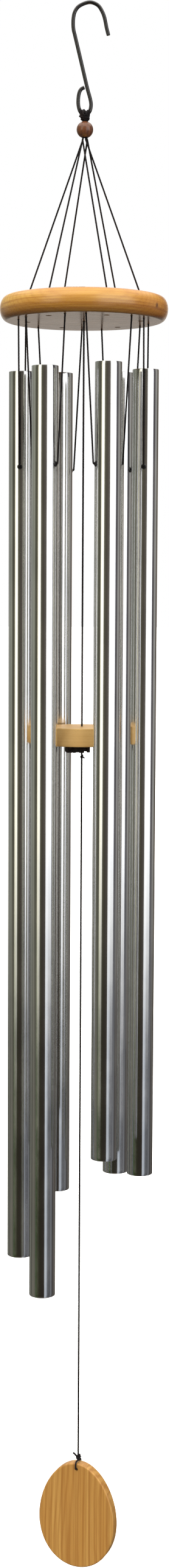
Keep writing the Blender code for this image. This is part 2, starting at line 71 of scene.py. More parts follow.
# Heights and routes of the cords, as in the frame
EYE_Z = -0.127
KNOT_Z = -0.1322
HOOK_POINTS = (  # (x, z) of the wire's centreline, from its free end over the top and down to the eye
    (0.0276, -0.0352), (0.0252, -0.0262), (0.0228, -0.0150), (0.0197, -0.0071), (0.0150, -0.0005),
    (0.0074, 0.0030), (0.0000, 0.00225), (-0.0082, -0.0018), (-0.0125, -0.0075), (-0.0144, -0.0150),
    (-0.0147, -0.0226), (-0.0141, -0.0290), (-0.0123, -0.0362), (-0.0051, -0.0653), (0.0022, -0.0950),
    (0.0060, -0.1085), (0.0072, -0.1165), (0.0052, -0.1242), (0.0000, EYE_Z), (-0.0054, -0.1244),
    (-0.0079, -0.1170), (-0.0081, -0.1085), (-0.0067, -0.1010), (-0.0042, -0.0973), (-0.0008, -0.0957),
)  # fmt: skip
HOOK_WIRE_R = 0.00225
CORD_R = 0.001
CENTRE_CORD_R = 0.0011
SUPPORT_R = 0.069
SUPPORT_START_Z = -0.1563
SUPPORT_STARTS = (
    (-0.0026, 0.0), (-0.0024, 0.0025), (0.0030, 0.0025), (0.0029, 0.0), (0.0008, -0.0025), (-0.0029, -0.0025),
)  # fmt: skip
SUPPORT_KNOT_Z = -0.3560
CORD_SPREAD_TOP = 0.0292
CORD_SPREAD_LOW = 0.0190
CROSS_HOLE_Z = -0.5453
CORD_BEND_R = 0.0016
HINGE_DROP = 0.0016  # a cord bends this far under the canopy
STRIKER_SIDE_Z = -0.3783  # the centre cord's second joint
STOP_KNOT_Z = -0.8980
SAIL_FRONT_Z, SAIL_SIDE_Z = -0.9050, -0.9103
SAIL_KNOT_Z = -1.7912
SAIL_HOLE_Z = -1.8050
SAIL_HOLE_R = 0.0022
SAIL_YAW = math.radians(-22)
LOCK_Z = -0.8888
GAP = 0.0003  # between pieces that touch
QUARTER = math.pi / 2

TUBES = range(1, 7)
canopy_low, canopy_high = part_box("canopy")
CANOPY_TOP, CANOPY_BOTTOM, CANOPY_R = canopy_high.z, canopy_low.z, canopy_high.x
CANOPY_RIM = 0.0086  # how far in the rounded rim reaches
CORD_HOLE_R = 0.0017
SUPPORT_HOLE_R = 0.0020  # of the centre hole too
COUNTERBORE_R, COUNTERBORE_TOP = 0.0036, -0.3525


def middle(name):
    """Centre of a node's box."""
    low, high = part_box(name)
    return (low + high) / 2


def tube_angle(index):
    """Direction of a tube from the hanging axis."""
    at = middle(f"tube_{(index - 1) % len(TUBES) + 1}")
    return math.atan2(at.y, at.x)


TUBE_RING_R = middle("tube_1").xy.length


def around(angle, radial, tangential=0.0):
    """(x, y) of a point this far from the axis in a direction, then this far to the left."""
    x = radial * math.cos(angle) - tangential * math.sin(angle)
    y = radial * math.sin(angle) + tangential * math.cos(angle)
    return x, y


# -------- camera, backdrop and light

CAMERA_AT = (0.0036, -2.587, -0.686)
CAMERA_PITCH = math.radians(-5.43)
CAMERA_ROLL = math.radians(0.30)
CAMERA_LENS = 48.4


def linear(red, green, blue, gain=1.0):
    """Scene-linear colour for these display values from 0 to 255."""

    def one(value):
        share = value / 255
        return gain * (share / 12.92 if share <= 0.04045 else ((share + 0.055) / 1.055) ** 2.4)

    return one(red), one(green), one(blue), 1.0


def add_camera():
    data = bpy.data.cameras.new("camera")
    data.lens = CAMERA_LENS
    data.sensor_width = 36
    data.clip_start, data.clip_end = 0.05, 200
    camera = bpy.data.objects.new("camera", data)
    bpy.context.scene.collection.objects.link(camera)
    look = Matrix.Rotation(math.radians(90) + CAMERA_PITCH, 4, "X") @ Matrix.Rotation(CAMERA_ROLL, 4, "Z")
    camera.matrix_world = Matrix.Translation(CAMERA_AT) @ look
    bpy.context.scene.camera = camera


def node(tree, kind, inputs=None, **settings):
    """A shader node with its sockets linked or set."""
    made = tree.nodes.new(f"ShaderNode{kind}")
    for key, value in settings.items():
        setattr(made, key, value)
    for key, value in (inputs or {}).items():
        if isinstance(value, bpy.types.NodeSocket):
            tree.links.new(value, made.inputs[key])
        else:
            made.inputs[key].default_value = value
    return made


def ramp(tree, factor, stops):
    """Colour output of a ramp through (position, colour) stops."""
    made = node(tree, "ValToRGB", {"Fac": factor})
    elements = made.color_ramp.elements
    while len(elements) < len(stops):
        elements.new(0.5)
    for element, (position, colour) in zip(elements, stops):
        element.position = position
        element.color = colour
    return made.outputs["Color"]


def mixed(tree, factor, one, two, blend="MIX"):
    """Colour output of a mix of two colours."""
    sockets = {0: factor, 6: one, 7: two}
    return node(tree, "Mix", sockets, data_type="RGBA", blend_type=blend).outputs[2]


def calc(tree, operation, *values):
    """Output of a math node."""
    return node(tree, "Math", dict(enumerate(values)), operation=operation).outputs[0]


def remap(tree, value, low, high, to_low=0.0, to_high=1.0):
    """Output of a smooth map from one range to another."""
    sockets = {"Value": value, "From Min": low, "From Max": high, "To Min": to_low, "To Max": to_high}
    return node(tree, "MapRange", sockets, interpolation_type="SMOOTHSTEP").outputs["Result"]


# The studio round the chime at eye level and low down: (degrees to the right of the front, colour)
STUDIO_LEVEL = (
    (-180, linear(238, 226, 214)), (-165, linear(234, 224, 212)), (-157, linear(120, 124, 120)),
    (-128, linear(158, 160, 150)), (-120, linear(96, 96, 86)), (-112, linear(150, 152, 140)),
    (-92, linear(140, 140, 126)), (-83, linear(84, 84, 72)), (-61, linear(88, 84, 70)),
    (-55, linear(255, 250, 226, 1.5)), (-35, linear(255, 253, 240, 1.5)), (-29, linear(96, 94, 78)),
    (-10, linear(80, 75, 66)), (16, linear(98, 92, 86)), (22, linear(255, 254, 252, 1.6)),
    (69, linear(252, 253, 255, 1.6)), (75, linear(92, 90, 94)), (92, linear(84, 80, 80)),
    (99, linear(160, 158, 156)), (122, linear(150, 148, 142)), (129, linear(80, 72, 66)),
    (157, linear(120, 112, 104)), (165, linear(234, 224, 212)), (180, linear(238, 226, 214)),
)  # fmt: skip
STUDIO_LOW = (
    (-180, linear(130, 130, 124)), (-150, linear(80, 80, 74)), (-120, linear(122, 122, 112)),
    (-108, linear(64, 62, 56)), (-96, linear(116, 114, 104)), (-66, linear(96, 94, 84)),
    (-60, linear(56, 76, 50)), (-46, linear(58, 62, 40)), (-34, linear(48, 48, 34)),
    (-8, linear(44, 40, 34)), (18, linear(50, 45, 40)), (23, linear(196, 202, 210)),
    (38, linear(168, 174, 184)), (48, linear(92, 94, 98)), (74, linear(84, 84, 88)),
    (80, linear(124, 126, 130)), (104, linear(66, 62, 60)), (124, linear(104, 100, 96)),
    (140, linear(60, 52, 46)), (180, linear(130, 130, 124)),
)  # fmt: skip


def add_studio():
    """Soft boxes to the left and right, a dark front, a pale back and a bright top, on a white backdrop."""
    world = bpy.data.worlds.new("studio")
    bpy.context.scene.world = world
    world.use_nodes = True
    tree = world.node_tree
    tree.nodes.clear()
    direction = node(tree, "TexCoord").outputs["Generated"]
    parts = node(tree, "SeparateXYZ", {"Vector": direction}).outputs
    turn = calc(tree, "ARCTAN2", parts["X"], calc(tree, "MULTIPLY", parts["Y"], -1.0))
    share = calc(tree, "MULTIPLY_ADD", turn, 0.5 / math.pi, 0.5)

    def rising(low, high):
        """Share from 0 to 1 between two elevations in degrees."""
        return remap(tree, parts["Z"], math.sin(math.radians(low)), math.sin(math.radians(high)))

    bands = []
    for table in (STUDIO_LEVEL, STUDIO_LOW):
        bands.append(ramp(tree, share, [((degrees + 180) / 360, colour) for degrees, colour in table]))
    sides = mixed(tree, rising(-14, -5), bands[1], bands[0])
    lit = mixed(tree, rising(26, 46), sides, linear(255, 252, 246, 1.5))
    all_round = mixed(tree, rising(-30, -50), lit, linear(110, 104, 98))
    studio = node(tree, "Background", {"Color": all_round, "Strength": 1.0})
    backdrop = node(tree, "Background", {"Color": linear(255, 255, 255), "Strength": 1.0})
    seen = node(tree, "LightPath").outputs["Is Camera Ray"]
    shown = node(tree, "MixShader", {0: seen, 1: studio.outputs[0], 2: backdrop.outputs[0]})
    node(tree, "OutputWorld", {"Surface": shown.outputs[0]})


def add_soft_light(name, azimuth, elevation, strength, colour):
    """A wide soft light from a direction, which lights the wood and cords but isn't mirrored in the tubes."""
    data = bpy.data.lights.new(name, "SUN")
    data.energy = strength
    data.angle = math.radians(50)
    data.color = colour
    lamp = bpy.data.objects.new(name, data)
    bpy.context.scene.collection.objects.link(lamp)
    a, e = math.radians(azimuth), math.radians(elevation)
    source = Vector((math.sin(a) * math.cos(e), -math.cos(a) * math.cos(e), math.sin(e)))
    lamp.rotation_euler = source.to_track_quat("Z", "Y").to_euler()
    lamp.visible_glossy = False


def add_floor(low):
    """A plain pale floor, evenly lit, just under the sail."""
    made = bpy.data.materials.new("floor_white")
    made.use_nodes = True
    tree = made.node_tree
    shader = tree.nodes["Principled BSDF"]
    grain = node(tree, "TexNoise", {"Scale": 40.0, "Detail": 3.0})
    paper = ramp(tree, grain.outputs["Fac"], [(0.3, linear(236, 236, 236)), (0.7, linear(246, 246, 246))])
    tree.links.new(paper, shader.inputs["Base Color"])
    shader.inputs["Roughness"].default_value = 0.9
    shader.inputs["Emission Color"].default_value = (1, 1, 1, 1)
    shader.inputs["Emission Strength"].default_value = 0.8
    mesh = bpy.data.meshes.new("floor")
    half = 60.0
    corners = [(x, y, low - 0.03) for x, y in ((-half, -half), (half, -half), (half, half), (-half, half))]
    mesh.from_pydata(corners, [], [(0, 1, 2, 3)])
    mesh.materials.append(made)
    floor = bpy.data.objects.new("floor", mesh)
    bpy.context.scene.collection.objects.link(floor)
    floor.visible_glossy = False
    floor.visible_diffuse = False


add_camera()
add_studio()
add_soft_light("key", -38, 46, 1.9, (1.0, 0.97, 0.92))
add_soft_light("fill", 40, 12, 0.9, (0.94, 0.97, 1.0))
add_floor(cad_box[0].z)
bpy.context.scene.view_settings.view_transform = "Standard"


# -------- shapes


def mesh_object(name, points, faces, finish, smooth_under=40):
    """An object from points and faces, its faces out, smooth under this angle in degrees."""
    mesh = bpy.data.meshes.new(name)
    mesh.from_pydata(points, [], faces)
    bm = bmesh.new()
    bm.from_mesh(mesh)
    bmesh.ops.recalc_face_normals(bm, faces=bm.faces)
    bm.to_mesh(mesh)
    bm.free()
    mesh.shade_smooth()
    mesh.set_sharp_from_angle(angle=math.radians(smooth_under))
    mesh.materials.append(finish)
    made = bpy.data.objects.new(name, mesh)
    bpy.context.scene.collection.objects.link(made)
    return made


def ring_mesh(rings, closed=False):
    """(points, faces) of a skin through rings of points, closed into a loop or with a face at each end."""
    count = len(rings[0])
    points = [p for ring in rings for p in ring]
    last = len(rings) if closed else len(rings) - 1
    faces = []
    for r in range(last):
        one, two = r * count, (r + 1) % len(rings) * count
        for k in range(count):
            n = (k + 1) % count
            faces.append((one + k, one + n, two + n, two + k))
    if not closed:
        end = (len(rings) - 1) * count
        faces.append(tuple(reversed(range(count))))
        faces.append(tuple(range(end, end + count)))
    return points, faces


def joined(shells):
    """(points, faces) of several (points, faces) together."""
    points, faces = [], []
    for more_points, more_faces in shells:
        start = len(points)
        points += more_points
        faces += [tuple(start + i for i in face) for face in more_faces]
    return points, faces


def lathe(profile, sides, matrix=None, closed=True):
    """(points, faces) turned about Z from (radius, z) points, then placed."""
    matrix = matrix or Matrix()
    turns = [2 * math.pi * k / sides for k in range(sides)]
    rings = [[matrix @ Vector((r * math.cos(a), r * math.sin(a), z)) for a in turns] for r, z in profile]
    return ring_mesh(rings, closed)


def arc(centre, radii, start, stop, steps):
    """Points on an ellipse's arc about centre, from angle start to stop in degrees."""
    angles = [math.radians(start + (stop - start) * k / steps) for k in range(steps + 1)]
    return [(centre[0] + radii[0] * math.cos(a), centre[1] + radii[1] * math.sin(a)) for a in angles]


def smooth_route(points, step, closed=False):
    """Points about step apart on a Catmull-Rom curve through these ones."""
    points = [Vector(p) for p in points]
    if closed:
        padded = [points[-1], *points, points[0], points[1]]
    else:
        padded = [2 * points[0] - points[1], *points, 2 * points[-1] - points[-2]]
    route = [] if closed else [points[0]]
    for a, b, c, d in zip(padded, padded[1:], padded[2:], padded[3:]):
        count = max(1, round((c - b).length / step))
        for k in range(1, count + 1):
            t = k / count
            bend = (2 * a - 5 * b + 4 * c - d) * t**2 + (3 * b - a - 3 * c + d) * t**3
            route.append(0.5 * (2 * b + (c - a) * t + bend))
    return route


CORD_STEP = 0.0009  # between the points of a cord's route


def rounded_route(corners, radius):
    """A cord's straight route through these corners, each rounded to this radius."""
    corners = [Vector(c) for c in corners]
    bends = [corners[0]]
    for before, corner, after in zip(corners, corners[1:], corners[2:]):
        back, ahead = (before - corner).normalized(), (after - corner).normalized()
        half = back.angle(ahead) / 2
        centre = corner + (back + ahead).normalized() * radius / math.sin(half)
        start = (corner + back * radius / math.tan(half) - centre).normalized()
        stop = (corner + ahead * radius / math.tan(half) - centre).normalized()
        bends += [centre + radius * start.slerp(stop, k / 6) for k in range(7)]
    bends.append(corners[-1])
    route = [bends[0]]
    for one, two in zip(bends, bends[1:]):
        count = max(1, round((two - one).length / CORD_STEP))
        route += [one.lerp(two, k / count) for k in range(1, count + 1)]
    return route


def carried_frames(route, closed=False):
    """(point, across, up) along a route, without needless twist."""
    ahead = []
    for k, at in enumerate(route):
        before = route[k - 1] if k or closed else at
        after = route[(k + 1) % len(route)] if k + 1 < len(route) or closed else at
        ahead.append((after - before).normalized())
    across = ahead[0].orthogonal().normalized()
    frames = []
    for at, way in zip(route, ahead):
        across = (across - way * across.dot(way)).normalized()
        frames.append((at, across, way.cross(across)))
    return frames


def sweep(route, radius_at, sides, closed=False):
    """(points, faces) of a tube along a route. radius_at(turn, along) gives its radius round each ring."""
    rings, along, last = [], 0.0, route[0]
    for at, across, up in carried_frames(route, closed):
        along += (at - last).length
        last = at
        ring = []
        for k in range(sides):
            a = 2 * math.pi * k / sides
            ring.append(at + radius_at(a, along) * (math.cos(a) * across + math.sin(a) * up))
        rings.append(ring)
    return ring_mesh(rings, closed)


STRANDS = 3
TWIST_PITCH = 0.0105
GROOVE = 0.10  # depth of the groove between strands, as a share of the radius


def twisted(radius, pitch=TWIST_PITCH, seed=0.0):
    """radius_at for a laid cord: strands that wind round it, a little uneven."""

    def radius_at(turn, along):
        lobe = 0.5 + 0.5 * math.cos(STRANDS * (turn - 2 * math.pi * along / pitch))
        uneven = 0.05 * noise.noise(Vector((along * 260, seed, turn * 0.5)))
        return radius * (1.05 - GROOVE * (1 - lobe) ** 1.6 + uneven)

    return radius_at


def cord_shell(route, radius=CORD_R, closed=False, seed=0.0):
    """(points, faces) of a laid cord along a route."""
    pitch = TWIST_PITCH
    if closed:
        length = sum((b - a).length for a, b in zip(route, route[1:] + route[:1]))
        turns = max(1, round(STRANDS * length / pitch))
        pitch = STRANDS * length / turns
    return sweep(route, twisted(radius, pitch, seed), 12, closed)


def corded(name, shell):
    """A shell of cord as an object."""
    return mesh_object(name, *shell, CORD, 60)


def cord_piece(name, route, radius=CORD_R, closed=False, seed=0.0):
    """A laid cord as an object."""
    return corded(name, cord_shell(route, radius, closed, seed))


def overhand(centre, size, cord_r, turn, seed, tail):
    """(points, faces) of an overhand knot in an upright cord, size from its middle to its lumps' centres.

    tail: how far each way from its middle the knot's curve is followed.
    """
    route = []
    steps = 110
    for k in range(steps + 1):
        t = -tail + 2 * tail * k / steps
        fade = math.exp(-((t / 1.95) ** 8))
        x, y = (t**3 - 3 * t) / 2 * fade, (t**4 - 4 * t**2 + 2) / 2.6 * fade
        z = (t**5 - 10 * t) / 8
        at = Matrix.Rotation(turn, 3, "Z") @ Vector((size * x, size * y, size * z))
        route.append(Vector(centre) + at)
    return cord_shell(route, cord_r, seed=seed)


def cut(target, shell):
    """Cuts a closed shell out of target, for good."""
    tool = mesh_object("cutter", *shell, target.data.materials[0])
    modifier = target.modifiers.new("cut", "BOOLEAN")
    modifier.operation = "DIFFERENCE"
    modifier.solver = "EXACT"
    modifier.object = tool
    bpy.context.view_layer.update()
    graph = bpy.context.evaluated_depsgraph_get()
    made = bpy.data.meshes.new_from_object(target.evaluated_get(graph))
    target.modifiers.clear()
    target.data = made
    bpy.data.objects.remove(tool)
    made.shade_smooth()
    made.set_sharp_from_angle(angle=math.radians(40))


def drill(places, radius, low, high, flare=0.0004, sides=32):
    """A closed shell of upright holes at (x, y) places, their edges broken where they leave z low to high."""
    over = 0.002
    wide = radius + flare
    profile = [
        (wide + over, low - over), (wide, low), (radius, low + flare),
        (radius, high - flare), (wide, high), (wide + over, high + over),
    ]  # fmt: skip
    return joined(lathe(profile, sides, Matrix.Translation((x, y, 0)), closed=False) for x, y in places)


def settle(piece, body, slot, *nodes):
    """The piece rides on a body and stands for its CAD nodes. slot: not used."""
    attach(piece, body)
    if nodes:
        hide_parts(*nodes)
    return piece


# -------- materials


def material(name, **sockets):
    """(material, tree, shader, place on the object) with the Principled sockets set.

    A keyword's _ stands for a space.
    """
    made = bpy.data.materials.new(name)
    made.use_nodes = True
    tree = made.node_tree
    shader = tree.nodes["Principled BSDF"]
    for key, value in sockets.items():
        shader.inputs[key.replace("_", " ")].default_value = value
    return made, tree, shader, node(tree, "TexCoord").outputs["Object"]


def surface(tree, shader, colour, roughness):
    """Links a shader's colour and roughness."""
    tree.links.new(colour, shader.inputs["Base Color"])
    tree.links.new(roughness, shader.inputs["Roughness"])


def grain_noise(tree, place, stretch, detail=3.0, roughness=0.55, distortion=0.0):
    """Noise whose cells are 1/stretch metres long on each axis."""
    scaled = node(tree, "Mapping", {"Vector": place, "Scale": stretch}).outputs["Vector"]
    sockets = {
        "Vector": scaled, "Scale": 1.0, "Detail": detail, "Roughness": roughness, "Distortion": distortion,
    }  # fmt: skip
    return node(tree, "TexNoise", sockets).outputs["Fac"]


def bump(tree, shader, height, strength, distance):
    """Bump on the shader from a height."""
    made = node(tree, "Bump", {"Height": height, "Strength": strength, "Distance": distance})
    tree.links.new(made.outputs["Normal"], shader.inputs["Normal"])


def wood(name, tones, turn, pith, ring_width, figure, streak, fleck, gloss, **sockets):
    """Planed and finished wood.

    tones: early wood, late wood, fleck and patch colours. turn: rotation that brings the grain along X.
    pith: the tree's centre from the object's origin after the turn. figure and streak: how strongly the
    rings and the fine straight lines show.
    fleck: (share, length, width) of the small dark flecks. gloss: lowest and highest roughness.
    """
    made, tree, shader, here = material(name, **sockets)
    early, late, dark, patch = tones
    along = node(tree, "Mapping", {"Vector": here, "Rotation": turn, "Location": pith}).outputs["Vector"]

    drift = grain_noise(tree, along, (4, 14, 70), 2.0)
    streaks = grain_noise(tree, along, (3.5, 18, 420), 3.0, 0.6, 0.15)
    wander = node(tree, "Mapping", {"Vector": along, "Scale": (0.22, 1, 1)}).outputs["Vector"]
    sway = node(tree, "TexNoise", {"Vector": wander, "Scale": 16.0, "Detail": 3.0}).outputs["Color"]
    offset = node(tree, "VectorMath", {0: sway, 1: (0.5, 0.5, 0.5)}, operation="SUBTRACT").outputs[0]
    reach = node(tree, "VectorMath", {0: offset, "Scale": 0.03}, operation="SCALE").outputs[0]
    bent = node(tree, "VectorMath", {0: wander, 1: reach}, operation="ADD").outputs[0]
    wave = {
        "Vector": bent, "Scale": 2 * math.pi / (20 * ring_width), "Distortion": 1.2,
        "Detail": 2.0, "Detail Scale": 1.2,
    }  # fmt: skip
    kind = {"wave_type": "RINGS", "rings_direction": "X", "wave_profile": "SIN"}
    rings = node(tree, "TexWave", wave, **kind).outputs["Fac"]
    fibre = grain_noise(tree, along, (40, 1500, 1500), 4.0, 0.65)
    line = calc(tree, "POWER", rings, 2.2)

    tone = mixed(tree, remap(tree, drift, 0.30, 0.72), early, patch)
    ringed = mixed(tree, calc(tree, "MULTIPLY", line, figure), tone, late)
    streaked = mixed(tree, remap(tree, streaks, 0.40, 0.68, 0.0, streak), ringed, late)
    thread = remap(tree, fibre, 0.35, 0.70, 0.0, 0.20)
    threaded = mixed(tree, thread, streaked, late)
    share, length, width = fleck
    spots = grain_noise(tree, along, (1 / length, 1 / width, 1 / width), 1.0, 0.4, 0.3)
    spot = remap(tree, spots, 1 - share, 1.12 - share, 0.0, 0.32)
    surface(tree, shader, mixed(tree, spot, threaded, dark), remap(tree, fibre, 0.3, 0.75, *gloss))

    height = calc(tree, "SUBTRACT", calc(tree, "MULTIPLY_ADD", line, -0.35, fibre), spot)
    bump(tree, shader, height, 0.12, 0.00006)
    return made


def graded(made, axis, start, end, colour):
    """Multiplies a material's colour, the more the further along an axis of its object."""
    tree = made.node_tree
    shader = tree.nodes["Principled BSDF"]
    here = node(tree, "TexCoord").outputs["Object"]
    along = node(tree, "SeparateXYZ", {"Vector": here}).outputs[axis]
    plain = shader.inputs["Base Color"].links[0].from_socket
    shaded = mixed(tree, remap(tree, along, start, end), plain, colour, "MULTIPLY")
    tree.links.new(shaded, shader.inputs["Base Color"])


def blotched(made, places, colour):
    """Soft round marks on a material: (x, y, z, radius, share) of each, in its object's space."""
    tree = made.node_tree
    shader = tree.nodes["Principled BSDF"]
    here = node(tree, "TexCoord").outputs["Object"]
    for x, y, z, radius, share in places:
        stretched = node(tree, "Mapping", {"Vector": here, "Location": (-x, -y, -z)}).outputs["Vector"]
        off = node(tree, "VectorMath", {0: stretched}, operation="LENGTH").outputs["Value"]
        amount = remap(tree, off, 0.25 * radius, radius, share, 0.0)
        plain = shader.inputs["Base Color"].links[0].from_socket
        tree.links.new(mixed(tree, amount, plain, colour), shader.inputs["Base Color"])


def cord_material():
    """Black laid polyester: fibres that shine a little, and a brown cast where it is worn."""
    made, tree, shader, here = material(
        "black_cord", Roughness=0.8, Sheen_Weight=0.05, Sheen_Roughness=0.4, Specular_IOR_Level=0.22
    )
    fibre = grain_noise(tree, here, (5200, 5200, 2100), 3.0, 0.6)
    worn = grain_noise(tree, here, (120, 120, 60), 2.0)
    black = mixed(tree, remap(tree, fibre, 0.35, 0.7), linear(13, 11, 12), linear(36, 31, 32))
    brown = calc(tree, "MULTIPLY", remap(tree, worn, 0.5, 0.75), 0.5)
    tree.links.new(mixed(tree, brown, black, linear(46, 33, 29)), shader.inputs["Base Color"])
    bump(tree, shader, fibre, 0.5, 0.0001)
    return made


def coating_material():
    """Glossy black coating on the hook's wire, with an orange-peel surface."""
    made, tree, shader, here = material(
        "hook_coating", Coat_Weight=0.6, Coat_Roughness=0.08, Specular_IOR_Level=0.6
    )
    peel = grain_noise(tree, here, (420, 420, 420), 2.0)
    scuff = grain_noise(tree, here, (1600, 1600, 300), 4.0, 0.7)
    coat = mixed(tree, remap(tree, scuff, 0.55, 0.8), linear(24, 22, 22), linear(58, 50, 46))
    surface(tree, shader, coat, remap(tree, scuff, 0.3, 0.8, 0.16, 0.42))
    bump(tree, shader, peel, 0.3, 0.0002)
    return made


def aluminium_material():
    """Polished drawn aluminium: a near mirror with faint marks round it from polishing."""
    made, tree, shader, here = material(
        "tube_aluminium", Metallic=1.0, Anisotropic=0.55, Anisotropic_Rotation=0.25
    )
    rub = grain_noise(tree, here, (160, 160, 5200), 3.0, 0.6)
    cloud = grain_noise(tree, here, (40, 40, 14), 3.0)
    bare = mixed(tree, remap(tree, cloud, 0.3, 0.7), linear(226, 227, 228), linear(240, 240, 239))
    rubbed = mixed(tree, remap(tree, rub, 0.6, 0.8, 0.0, 0.25), bare, linear(205, 206, 208))
    haze = remap(tree, cloud, 0.3, 0.75, 0.09, 0.14)
    surface(tree, shader, rubbed, calc(tree, "ADD", haze, remap(tree, rub, 0.4, 0.8, 0.0, 0.05)))
    tangent = node(tree, "Tangent", direction_type="RADIAL", axis="Z")
    tree.links.new(tangent.outputs[0], shader.inputs["Tangent"])
    return made


def rubber_material():
    """Soft black rubber of the grommets."""
    made, tree, shader, here = material(
        "grommet_rubber", Specular_IOR_Level=0.5, Coat_Weight=0.25, Coat_Roughness=0.2
    )
    dust = grain_noise(tree, here, (2600, 2600, 2600), 3.0)
    dusty = mixed(tree, remap(tree, dust, 0.5, 0.8), linear(16, 16, 17), linear(48, 48, 50))
    surface(tree, shader, dusty, remap(tree, dust, 0.3, 0.8, 0.28, 0.5))
    bump(tree, shader, dust, 0.2, 0.00008)
    return made


def plastic_material():
    """Brown-black moulded plastic of the cord lock."""
    made, tree, shader, here = material("lock_plastic", Specular_IOR_Level=0.5)
    spark = grain_noise(tree, here, (3800, 3800, 3800), 2.0)
    cloud = grain_noise(tree, here, (260, 420, 420), 2.0)
    shade = mixed(tree, remap(tree, cloud, 0.35, 0.7), linear(28, 21, 19), linear(52, 39, 34))
    speckled = mixed(tree, remap(tree, spark, 0.62, 0.8, 0.0, 0.5), shade, linear(84, 70, 62))
    surface(tree, shader, speckled, remap(tree, cloud, 0.3, 0.8, 0.38, 0.55))
    bump(tree, shader, spark, 0.25, 0.00008)
    return made


def steel_material():
    """Drawn spring wire."""
    made, tree, shader, here = material("spring_steel", Metallic=1.0)
    drawn = grain_noise(tree, here, (900, 4200, 4200), 3.0)
    wire = mixed(tree, remap(tree, drawn, 0.4, 0.8), linear(196, 197, 200), linear(150, 150, 154))
    surface(tree, shader, wire, remap(tree, drawn, 0.3, 0.8, 0.2, 0.38))
    return made


CORD = cord_material()
COATING = coating_material()
ALUMINIUM = aluminium_material()
RUBBER = rubber_material()
PLASTIC = plastic_material()
STEEL = steel_material()
CANOPY_WOOD = wood(
    "canopy_wood",
    (linear(230, 182, 92), linear(176, 116, 50), linear(120, 72, 34), linear(208, 150, 72)),
    turn=(0.0, 0.0, 0.0), pith=(0.02, 0.35, 0.10), ring_width=0.0052, figure=0.22, streak=0.70,
    fleck=(0.26, 0.009, 0.0006), gloss=(0.22, 0.34), Coat_Weight=0.35, Coat_Roughness=0.18,
)  # fmt: skip
# Painted shade: the canopy's colour is darkened towards the bottom of its rim, where less light falls.
graded(CANOPY_WOOD, "Z", -0.351, -0.369, (0.62, 0.50, 0.40, 1.0))
graded(CANOPY_WOOD, "X", 0.035, 0.102, (0.92, 0.74, 0.60, 1.0))
blotched(CANOPY_WOOD, [(0.0860, -0.0530, -0.3580, 0.0045, 0.8)], linear(96, 50, 28))
STRIKER_WOOD = wood(
    "striker_wood",
    (linear(232, 192, 124), linear(206, 158, 90), linear(138, 94, 48), linear(218, 172, 104)),
    turn=(0.0, 0.0, 0.0), pith=(0.0, 0.12, 0.90), ring_width=0.0095, figure=0.30, streak=0.30,
    fleck=(0.34, 0.0036, 0.0004), gloss=(0.38, 0.55), Coat_Weight=0.15, Coat_Roughness=0.3,
)  # fmt: skip
blotched(STRIKER_WOOD, [(-0.036, -0.026, -0.882, 0.020, 0.45)], linear(186, 126, 72))
SAIL_WOOD = wood(
    "sail_wood",
    (linear(200, 154, 84), linear(152, 98, 40), linear(126, 78, 38), linear(188, 138, 70)),
    turn=(0.0, QUARTER, 0.0), pith=(0.0, 0.05, 0.12), ring_width=0.0080, figure=0.45, streak=0.60,
    fleck=(0.24, 0.010, 0.0005), gloss=(0.36, 0.52), Coat_Weight=0.2, Coat_Roughness=0.25,
)  # fmt: skip
BEAD_WOOD = wood(
    "bead_wood",
    (linear(128, 78, 48), linear(70, 38, 24), linear(38, 22, 16), linear(96, 56, 34)),
    turn=(0.0, QUARTER, 0.3), pith=(0.0, 0.006, 0.008), ring_width=0.0030, figure=0.35, streak=0.5,
    fleck=(0.36, 0.0022, 0.00035), gloss=(0.24, 0.40), Coat_Weight=0.5, Coat_Roughness=0.12,
)  # fmt: skip


# -------- hook, hitch and bead


def add_hook():
    """The coated wire, with its cut ends slightly rounded."""
    route = smooth_route([(x, 0.0, z) for x, z in HOOK_POINTS], 0.0011)
    lengths = [0.0]
    for a, b in zip(route, route[1:]):
        lengths.append(lengths[-1] + (b - a).length)
    whole, edge = lengths[-1], 0.0005

    def radius_at(turn, along):
        to_end = min(along, whole - along)
        eased = math.sqrt(max(0.0, 1 - max(0.0, 1 - to_end / edge) ** 2))
        return HOOK_WIRE_R - edge * (1 - eased)

    start = [route[0].lerp(route[1], s) for s in (0.0, 0.08, 0.2, 0.4)]
    stop = [route[-2].lerp(route[-1], s) for s in (0.6, 0.8, 0.92, 1.0)]
    wire = mesh_object("hook_wire", *sweep(start + route[1:-1] + stop, radius_at, 28), COATING, 50)
    settle(wire, "hook", "hook_coating", "hook")


